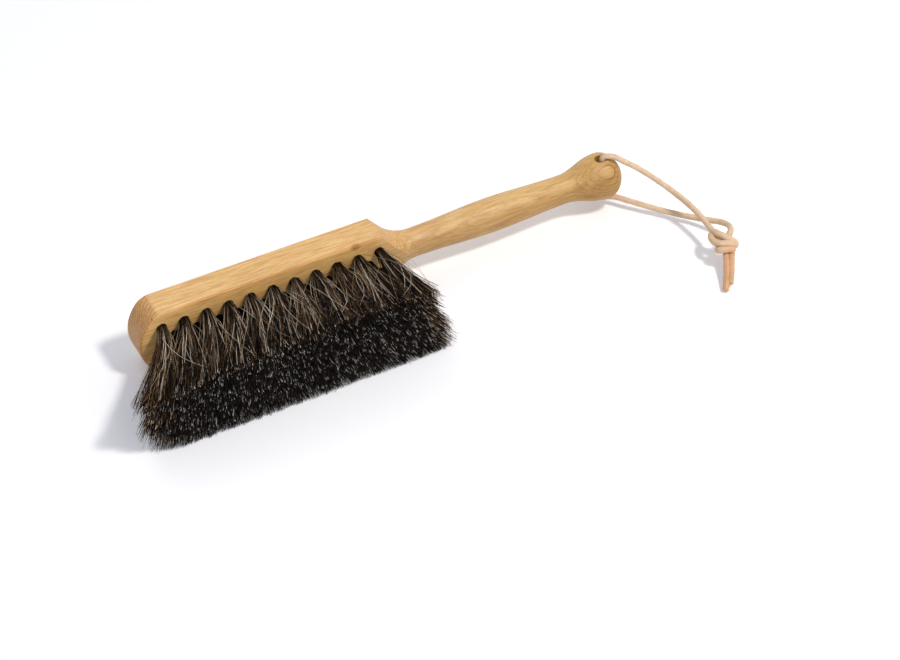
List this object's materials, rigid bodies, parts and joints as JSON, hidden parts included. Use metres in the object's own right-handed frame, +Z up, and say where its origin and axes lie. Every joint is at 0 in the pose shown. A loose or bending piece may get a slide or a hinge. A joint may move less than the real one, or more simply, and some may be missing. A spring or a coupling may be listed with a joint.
{
  "type": "hand broom",
  "caption": "Wooden hand broom with staggered tufts of hair, a turned handle and a knotted leather hanging thong.",
  "frame": {"origin": "middle of the block's lower side face, on which the broom lies", "axes": "+X along the broom from the block's nose to the knob, -Y the way the hair points, +Z up as the broom lies on its side"},
  "size_m": [0.3332, 0.1066, 0.0444],
  "materials": {
    "beech": "oiled",
    "hair": "matte",
    "steel_wire": "plain wire",
    "leather": "matte, undyed"
  },
  "bodies": {
    "root": {"broom_body": "beech", "thong_knot": "leather", "thong_long_tail": "leather", "thong_lower_limb": "leather", "thong_short_tail": "leather", "thong_upper_limb": "leather", "tuft_row1_01": "hair", "tuft_row1_02": "hair", "tuft_row1_03": "hair", "tuft_row1_04": "hair", "tuft_row1_05": "hair", "tuft_row1_06": "hair", "tuft_row1_07": "hair", "tuft_row1_08": "hair", "tuft_row1_09": "hair", "tuft_row1_10": "hair", "tuft_row1_11": "hair", "tuft_row2_01": "hair", "tuft_row2_02": "hair", "tuft_row2_03": "hair", "tuft_row2_04": "hair", "tuft_row2_05": "hair", "tuft_row2_06": "hair", "tuft_row2_07": "hair", "tuft_row2_08": "hair", "tuft_row2_09": "hair", "tuft_row2_10": "hair", "tuft_row3_01": "hair", "tuft_row3_02": "hair", "tuft_row3_03": "hair", "tuft_row3_04": "hair", "tuft_row3_05": "hair", "tuft_row3_06": "hair", "tuft_row3_07": "hair", "tuft_row3_08": "hair", "tuft_row3_09": "hair", "tuft_row3_10": "hair", "tuft_row3_11": "hair", "tuft_row4_01": "hair", "tuft_row4_02": "hair", "tuft_row4_03": "hair", "tuft_row4_04": "hair", "tuft_row4_05": "hair", "tuft_row4_06": "hair", "tuft_row4_07": "hair", "tuft_row4_08": "hair", "tuft_row4_09": "hair", "tuft_row4_10": "hair", "tuft_staples": "steel_wire"}
  },
  "joints": []
}
